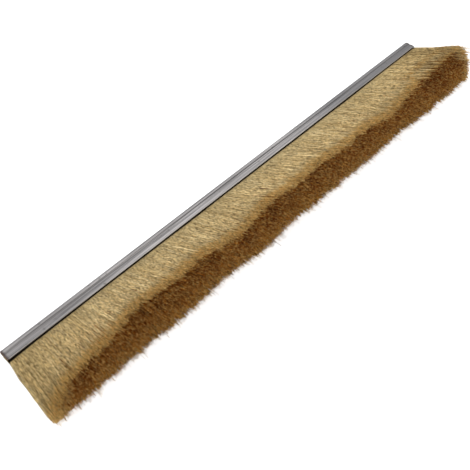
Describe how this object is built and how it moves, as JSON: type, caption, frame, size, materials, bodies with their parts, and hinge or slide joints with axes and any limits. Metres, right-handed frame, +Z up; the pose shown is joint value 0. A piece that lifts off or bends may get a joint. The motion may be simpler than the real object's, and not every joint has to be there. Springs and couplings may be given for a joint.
{
  "type": "letterbox draught excluder",
  "caption": "Brush strip for a letter plate: a folded steel channel grips a dense, flared pack of fine golden brown filaments bent round a core wire.",
  "frame": {"origin": "middle of the lower jaw's flat outer face, half way along the strip, on the floor that the brush lies on", "axes": "+X along the strip, -Y from the channel to the filament tips, +Z up through the strip's thickness"},
  "size_m": [0.3017, 0.0442, 0.0224],
  "materials": {
    "galvanised_channel": "dull galvanised, with fine lines along the strip",
    "steel_wire": "drawn",
    "filaments": "satin fibre, tan sides and brown cut ends"
  },
  "bodies": {
    "root": {"channel": "galvanised_channel", "core_wire": "steel_wire", "bristles": "filaments"}
  },
  "joints": []
}
